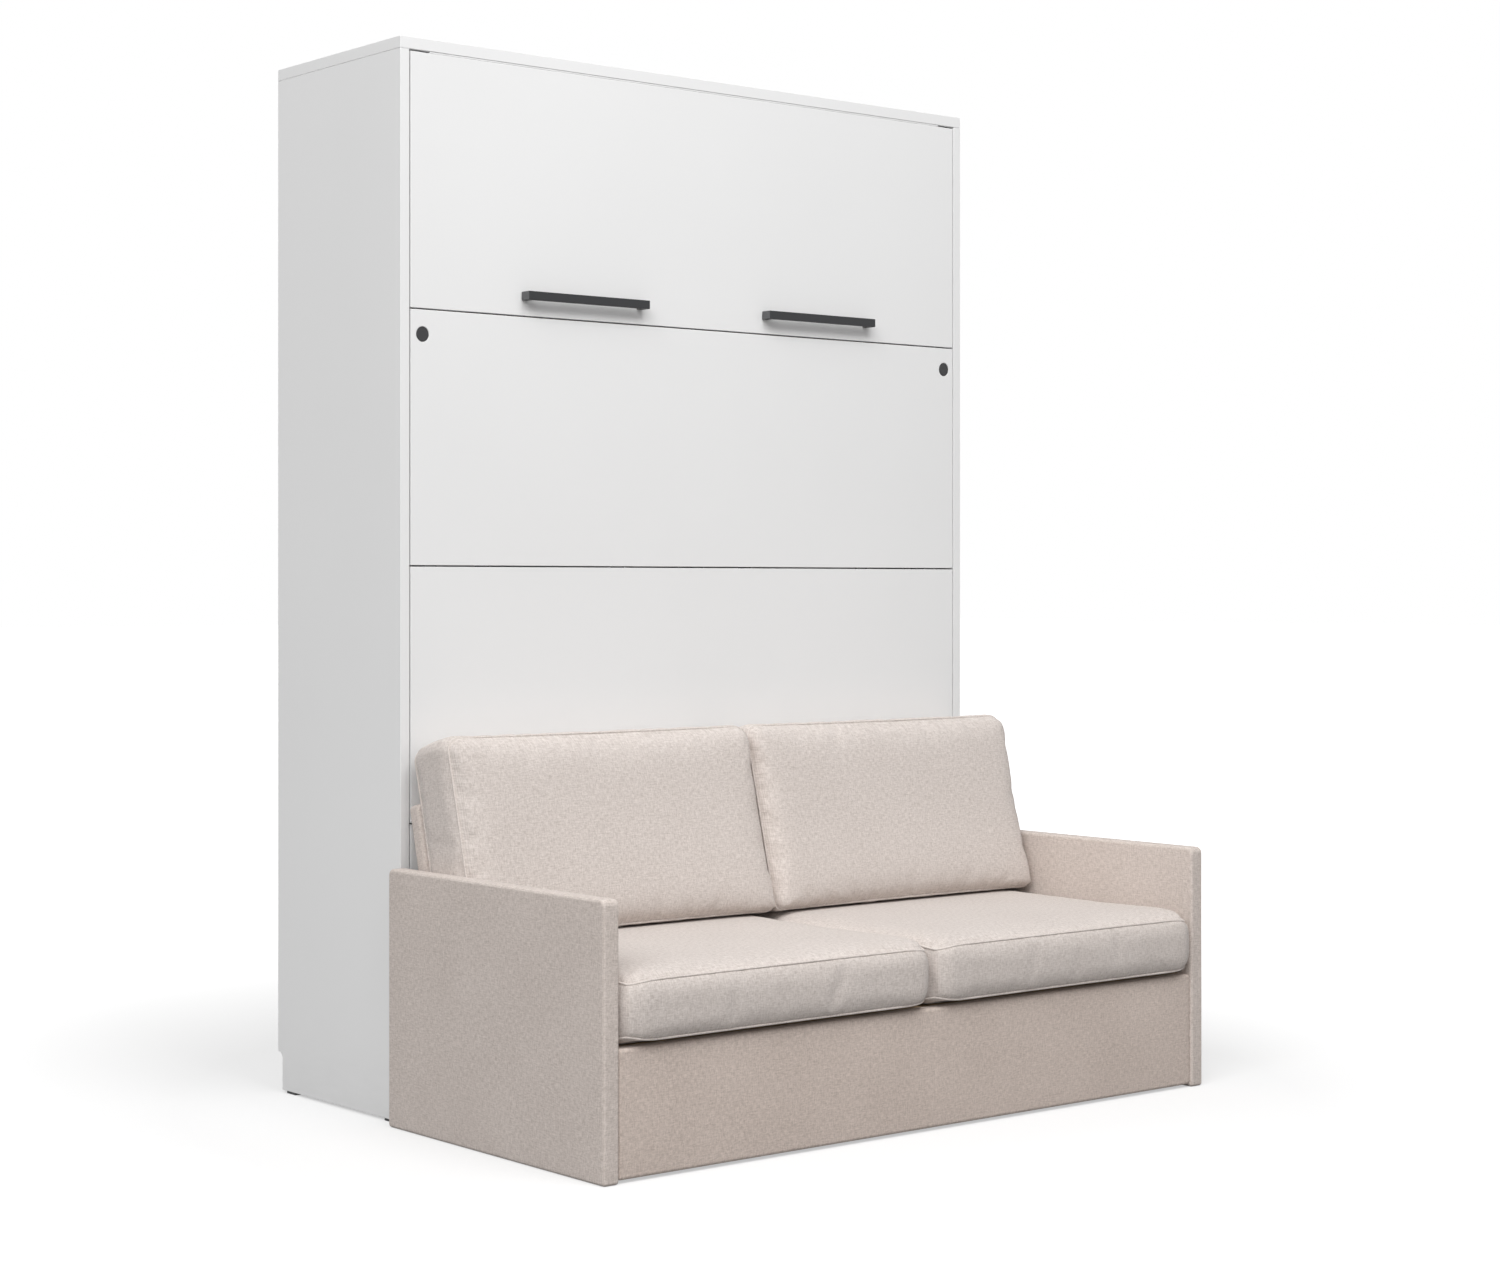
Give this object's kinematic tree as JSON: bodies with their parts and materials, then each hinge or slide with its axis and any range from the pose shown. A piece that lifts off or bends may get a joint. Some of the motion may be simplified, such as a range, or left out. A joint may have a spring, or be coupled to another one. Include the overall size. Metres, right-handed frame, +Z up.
{
  "type": "wall bed with sofa",
  "caption": "Fold-down bed in a white wall cabinet, with a fabric sofa in front of it whose backrest folds flat onto the seat as the bed comes down.",
  "frame": {"origin": "on the floor, at the middle of the whole object's width and depth", "axes": "+X to the right as seen from the front, -Y towards the person who faces it, +Z up along the cabinet's height"},
  "size_m": [1.64, 1.192, 2.18],
  "materials": {
    "white_laminate": "white melamine-faced board, satin",
    "front_laminate": "white melamine-faced board, satin",
    "white_board": "thin white-faced fibre board",
    "black_plastic": "black moulded plastic",
    "anthracite_metal": "anthracite powder coat, matt",
    "zinc_steel": "zinc-plated steel",
    "chromed_tube": "bright drawn tube and rod",
    "grey_painted_steel": "grey powder-coated steel tube",
    "black_cylinder": "black painted steel cylinder",
    "beech": "clear lacquered beech",
    "plywood": "raw plywood",
    "mattress_cover": "off-white knitted cover",
    "sofa_fabric": "warm beige woven upholstery"
  },
  "bodies": {
    "cabinet": {"side_panel_left": "white_laminate", "side_panel_right": "white_laminate", "top_board": "white_laminate", "plinth_board": "white_laminate", "bottom_board": "white_laminate", "rear_rail_lower": "white_laminate", "rear_rail_middle": "white_laminate", "rear_rail_upper": "white_laminate", "top_stop_rail": "white_laminate", "back_leaf": "white_board", "glide_left_front": "black_plastic", "glide_left_rear": "black_plastic", "glide_right_front": "black_plastic", "glide_right_rear": "black_plastic", "wall_angle_left": "zinc_steel", "wall_angle_right": "zinc_steel", "pivot_plate_left": "zinc_steel", "pivot_plate_right": "zinc_steel", "sofa_arm_left": "sofa_fabric", "sofa_arm_right": "sofa_fabric", "sofa_front_board": "sofa_fabric", "sofa_rear_board": "sofa_fabric", "seat_deck": "plywood", "seat_ledger_front": "beech", "seat_ledger_rear": "beech", "sofa_link_left": "zinc_steel", "sofa_link_right": "zinc_steel", "seat_cushion_left": "sofa_fabric", "seat_cushion_right": "sofa_fabric", "backrest_hinge_fixed": "zinc_steel"},
    "bed": {"front_panel_1": "front_laminate", "front_panel_2": "front_laminate", "front_panel_3": "front_laminate", "front_panel_4": "front_laminate", "handle_left": "anthracite_metal", "handle_right": "anthracite_metal", "side_rail_left": "grey_painted_steel", "side_rail_right": "grey_painted_steel", "foot_rail": "grey_painted_steel", "head_rail": "grey_painted_steel", "centre_rail": "grey_painted_steel", "slat_mat_left": "beech", "slat_mat_right": "beech", "mattress": "mattress_cover", "leg_sleeve_left": "grey_painted_steel", "leg_sleeve_right": "grey_painted_steel"},
    "leg_tube_left": {"leg_tube_left": "chromed_tube"},
    "leg_tube_right": {"leg_tube_right": "chromed_tube"},
    "leg_foot_left": {"leg_rod_left": "chromed_tube", "leg_cap_left": "black_plastic"},
    "leg_foot_right": {"leg_rod_right": "chromed_tube", "leg_cap_right": "black_plastic"},
    "strut_cylinder_left": {"strut_cylinder_left": "black_cylinder"},
    "strut_cylinder_right": {"strut_cylinder_right": "black_cylinder"},
    "strut_rod_left": {"strut_rod_left": "chromed_tube"},
    "strut_rod_right": {"strut_rod_right": "chromed_tube"},
    "backrest": {"backrest_board": "sofa_fabric", "backrest_hinge_moving": "zinc_steel"},
    "back_cushion_left": {"back_cushion_left": "sofa_fabric"},
    "back_cushion_right": {"back_cushion_right": "sofa_fabric"}
  },
  "joints": [
    {"name": "bed_fold", "type": "hinge", "parent": "cabinet", "child": "bed", "pos_m": [0, 0.156, 0.475], "axis": [1, 0, 0], "range_deg": [0, 90]},
    {"name": "leg_tube_slide_left", "type": "slide", "parent": "bed", "child": "leg_tube_left", "axis": [0, -1, 0], "range_m": [0, 0.22251]},
    {"name": "leg_tube_slide_right", "type": "slide", "parent": "bed", "child": "leg_tube_right", "axis": [0, -1, 0], "range_m": [0, 0.22251]},
    {"name": "leg_foot_slide_left", "type": "slide", "parent": "leg_tube_left", "child": "leg_foot_left", "axis": [0, -1, 0], "range_m": [0, 0.22251]},
    {"name": "leg_foot_slide_right", "type": "slide", "parent": "leg_tube_right", "child": "leg_foot_right", "axis": [0, -1, 0], "range_m": [0, 0.22251]},
    {"name": "strut_swing_left", "type": "hinge", "parent": "cabinet", "child": "strut_cylinder_left", "pos_m": [-0.745, 0.546, 1.05], "axis": [1, 0, 0], "range_deg": [0, 13.71]},
    {"name": "strut_swing_right", "type": "hinge", "parent": "cabinet", "child": "strut_cylinder_right", "pos_m": [0.745, 0.546, 1.05], "axis": [1, 0, 0], "range_deg": [0, 13.71]},
    {"name": "strut_stroke_left", "type": "slide", "parent": "strut_cylinder_left", "child": "strut_rod_left", "axis": [0, 0.3895, 0.921], "range_m": [0, 0.38777]},
    {"name": "strut_stroke_right", "type": "slide", "parent": "strut_cylinder_right", "child": "strut_rod_right", "axis": [0, 0.3895, 0.921], "range_m": [0, 0.38777]},
    {"name": "backrest_fold", "type": "hinge", "parent": "cabinet", "child": "backrest", "pos_m": [0, 0.0225, 0.394], "axis": [1, 0, 0], "range_deg": [0, 104.01]},
    {"name": "back_cushion_lift_left", "type": "hinge", "parent": "cabinet", "child": "back_cushion_left", "pos_m": [0, -0.52632, -0.22], "axis": [1, 0, 0], "range_deg": [0, 104.01]},
    {"name": "back_cushion_lift_right", "type": "hinge", "parent": "cabinet", "child": "back_cushion_right", "pos_m": [0, -0.52632, -0.22], "axis": [1, 0, 0], "range_deg": [0, 104.01]}
  ],
  "couplings": [
    {"joint": "leg_tube_slide_left", "follows": "bed_fold", "m_per_rad": 0.14165},
    {"joint": "leg_tube_slide_right", "follows": "bed_fold", "m_per_rad": 0.14165},
    {"joint": "leg_foot_slide_left", "follows": "bed_fold", "m_per_rad": 0.14165},
    {"joint": "leg_foot_slide_right", "follows": "bed_fold", "m_per_rad": 0.14165},
    {"joint": "strut_swing_left", "follows": "bed_fold", "ratio": 0.15234},
    {"joint": "strut_swing_right", "follows": "bed_fold", "ratio": 0.15234},
    {"joint": "strut_stroke_left", "follows": "bed_fold", "m_per_rad": 0.24686},
    {"joint": "strut_stroke_right", "follows": "bed_fold", "m_per_rad": 0.24686},
    {"joint": "backrest_fold", "follows": "bed_fold", "ratio": 1.1556},
    {"joint": "back_cushion_lift_left", "follows": "bed_fold", "ratio": 1.1556},
    {"joint": "back_cushion_lift_right", "follows": "bed_fold", "ratio": 1.1556}
  ]
}
